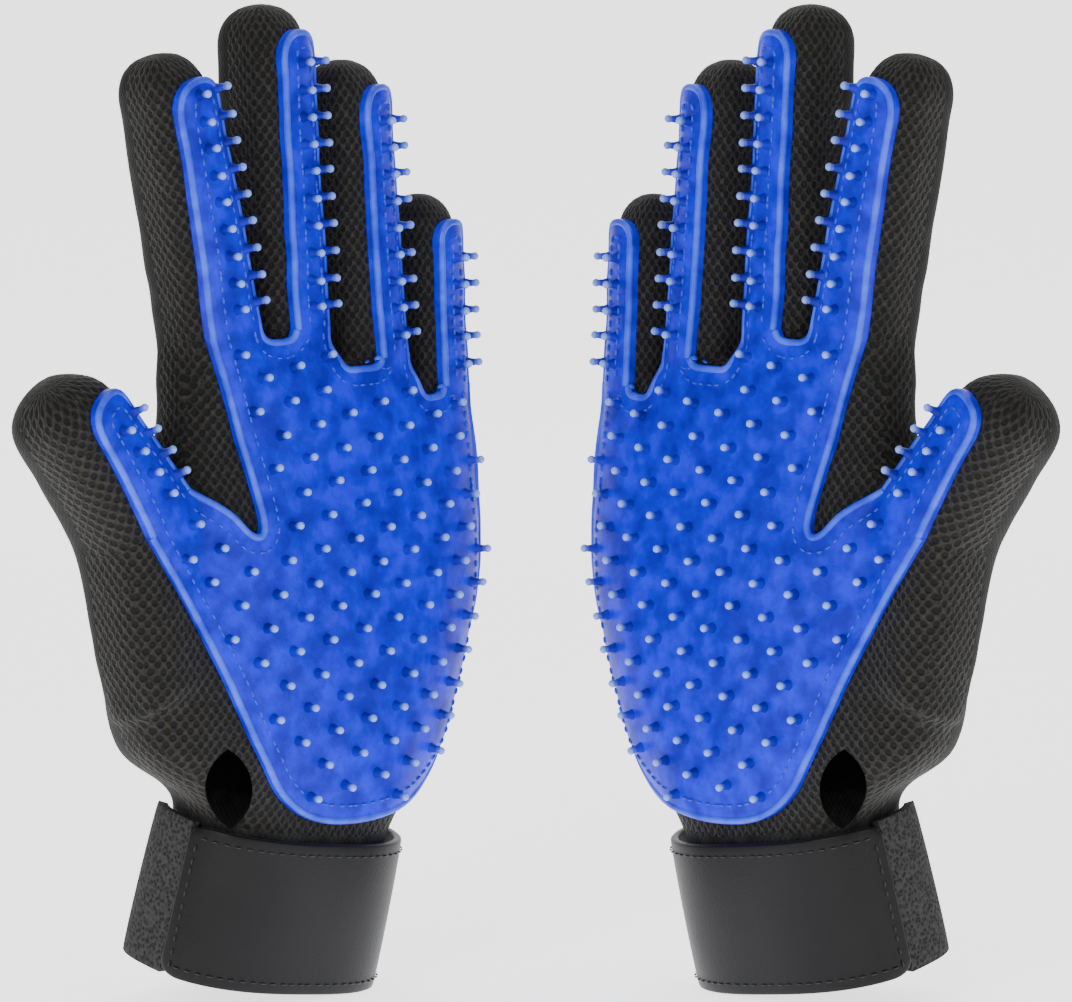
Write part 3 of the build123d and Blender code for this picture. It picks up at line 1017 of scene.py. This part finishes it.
def makeBand(start, end, off, thick, corner, finish):
    # a strip of cloth round the cuff; its starting end's corners can be rounded
    deselect()
    bpy.ops.mesh.primitive_grid_add(x_subdivisions=96, y_subdivisions=18, size=2)
    band = bpy.context.object
    for v in band.data.vertices:
        u, w = (v.co.x + 1) / 2, (v.co.y + 1) / 2
        near = max(0.0, 1 - u * strap["cornerReach"])
        inset = corner * (1 - math.sqrt(max(1 - near * near, 0)))
        top, bottom = strap["top"] - inset, strap["bottom"] + inset
        swell = strap["swell"] * max(math.sin(math.pi * w), 0) ** 0.5
        v.co = cuffPoint(start + (end - start) * u, bottom + (top - bottom) * w, off + swell)
    applyModifier(band, "SOLIDIFY", thickness=thick, offset=1.0)
    pick(band)
    bpy.ops.object.mode_set(mode="EDIT")
    bpy.ops.mesh.select_all(action="SELECT")
    bpy.ops.mesh.normals_make_consistent(inside=False)
    bpy.ops.object.mode_set(mode="OBJECT")
    applyModifier(band, "BEVEL", width=strap["bevel"], segments=3, limit_method="ANGLE",
                  angle_limit=math.radians(50))
    finishMesh(band, finish, 50)
    return band


def strapStitches():
    # a row along each long edge and one across the free end
    t = strapThread
    off = strap["inner"] + strap["thick"] + t["lift"]
    first, last = strap["start"] + t["sideMargin"], strap["end"] - t["sideMargin"]
    top, bottom = strap["top"] - t["inset"], strap["bottom"] + t["inset"]
    lines = []
    for level in (top, bottom):
        lines.append([cuffPoint(first + (last - first) * k / 220, level, off) for k in range(221)])
    across = strap["start"] + t["endMargin"]
    lines.append([cuffPoint(across, top + (bottom - top) * k / 40, off) for k in range(41)])
    rows = [stitchRow("strapRow", line, t["pitch"], t["width"], t["length"]) for line in lines]
    row = joined(rows, "strapStitches")
    row.data.materials.append(finishes["strapThread"])
    return row


def strapPieces():
    # one band from its sewn end to the tab's free end, with the points of the tab's hinge worked out
    hinge, end = [wristFrame @ Vector((x, y, -cuffLength / 2))
                  for x, y in (strap["hinge"], strap["bendEnd"])]
    bend = ("hand", "tab", place @ hinge, place @ end)
    band = makeBand(strap["start"], strap["end"], strap["inner"], strap["thick"],
                    strap["corner"], finishes["strap"])
    keep(band, "wrist_strap_band", "tab", "strap_fabric", bend, ("wrist_strap", "strap_tab"))
    keep(strapStitches(), "strap_stitching", "tab", "strap_fabric", bend)
    # the doubled edge of the back panel, which the strap's free end closes against
    edge = makeBand(strap["stripStart"], strap["start"] - strap["stripGap"], strap["stripInner"],
                    strap["stripThick"], 0.0, finishes["strip"])
    keep(edge, "cuff_edge_strip", "hand", "black_mesh_fabric")
    print("strap made")


def setDown(piece, side):
    # the left piece as made, or its mirror image for the right glove
    obj = piece["obj"]
    flip = side == "right"
    if flip:
        obj = copyOf(obj, "right_" + piece["name"])
        obj.data.transform(Matrix.Diagonal((-1, 1, 1, 1)))
        obj.data.flip_normals()
    obj.name = side + "_" + piece["name"]
    obj.data.name = obj.name
    if piece["stands"]:
        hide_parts(*[f"{side}_{n}" for n in piece["stands"]])
    if piece["bend"]:
        a, b, start, end = piece["bend"]
        if flip:
            start, end = [Vector((-p.x, p.y, p.z)) for p in (start, end)]
        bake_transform(obj)
    else:
        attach(obj, f"{side}_{piece['body']}")


def dressTapes():
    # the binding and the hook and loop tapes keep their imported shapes
    for side in ("left", "right"):
        for node in ("cuff_binding", "hook_patch", "loop_patch"):
            obj = frame["nodes"][f"{side}_{node}"]
            obj.data.materials.clear()
            obj.data.materials.append(finishes["strap"])


def paleFloor():
    # one sheet of paper: a floor that curves up into a backdrop
    deselect()
    bpy.ops.mesh.primitive_plane_add(size=stage["size"], location=(0, 0, 0))
    floor = bpy.context.object
    floor.name = "paleFloor"
    bpy.ops.object.mode_set(mode="EDIT")
    bpy.ops.mesh.select_all(action="DESELECT")
    bpy.ops.mesh.select_mode(type="EDGE")
    bpy.ops.object.mode_set(mode="OBJECT")
    for e in floor.data.edges:
        e.select = all(floor.data.vertices[v].co.y > 0 for v in e.vertices)
    bpy.ops.object.mode_set(mode="EDIT")
    bpy.ops.mesh.extrude_region_move(TRANSFORM_OT_translate={"value": (0, 0, stage["wall"])})
    bpy.ops.object.mode_set(mode="OBJECT")
    applyModifier(floor, "BEVEL", width=stage["curve"], segments=12, limit_method="ANGLE")
    bpy.ops.object.shade_smooth()
    paper, tree, surface = newMaterial("whitePaper", Roughness=0.9)
    surface.inputs["Base Color"].default_value = stage["paper"]
    surface.inputs["Emission Color"].default_value = stage["white"]
    surface.inputs["Emission Strength"].default_value = stage["glow"]
    floor.data.materials.append(paper)


def studioWorld():
    world = bpy.data.worlds.new("studio")
    bpy.context.scene.world = world
    world.use_nodes = True
    sky = world.node_tree.nodes["Background"]
    sky.inputs["Color"].default_value = stage["white"]
    sky.inputs["Strength"].default_value = stage["sky"]


def softLight(name, spot, size, power):
    data = bpy.data.lights.new(name, "AREA")
    data.shape = "DISK"
    data.size = size
    data.energy = power
    obj = bpy.data.objects.new(name, data)
    bpy.context.scene.collection.objects.link(obj)
    obj.location = spot
    towards = Vector(lightAim) - Vector(spot)
    obj.rotation_euler = towards.to_track_quat("-Z", "Y").to_euler()


def viewCamera():
    # looks straight at the pair from a little above
    data = bpy.data.cameras.new("viewCamera")
    data.sensor_width = lens["sensor"]
    data.lens = lens["sensor"] * lens["distance"] / lens["width"]
    camera = bpy.data.objects.new("viewCamera", data)
    bpy.context.scene.collection.objects.link(camera)
    rise = math.radians(lens["elevation"])
    back = Vector((0, -math.cos(rise), math.sin(rise)))
    camera.location = Vector(lens["aim"]) + back * lens["distance"]
    camera.rotation_euler = (-back).to_track_quat("-Z", "Y").to_euler()
    bpy.context.scene.camera = camera


form = makeForm()
print("glove form:", len(form.data.polygons), "faces")
faceSurface = grownSurface(form)
paths = facePaths()
outline = sum(paths.values(), [])
rubberFaces(form, outline)
rubberNubs(faceSurface, outline)
rubberTrims(faceSurface, paths)
fabricPieces(form)
strapPieces()
for side in ("right", "left"):
    for piece in pieces:
        setDown(piece, side)
dressTapes()
print("both gloves set down")

paleFloor()
studioWorld()
for name, light in lights.items():
    softLight(name, **light)
viewCamera()
print("stage, lights and camera placed")
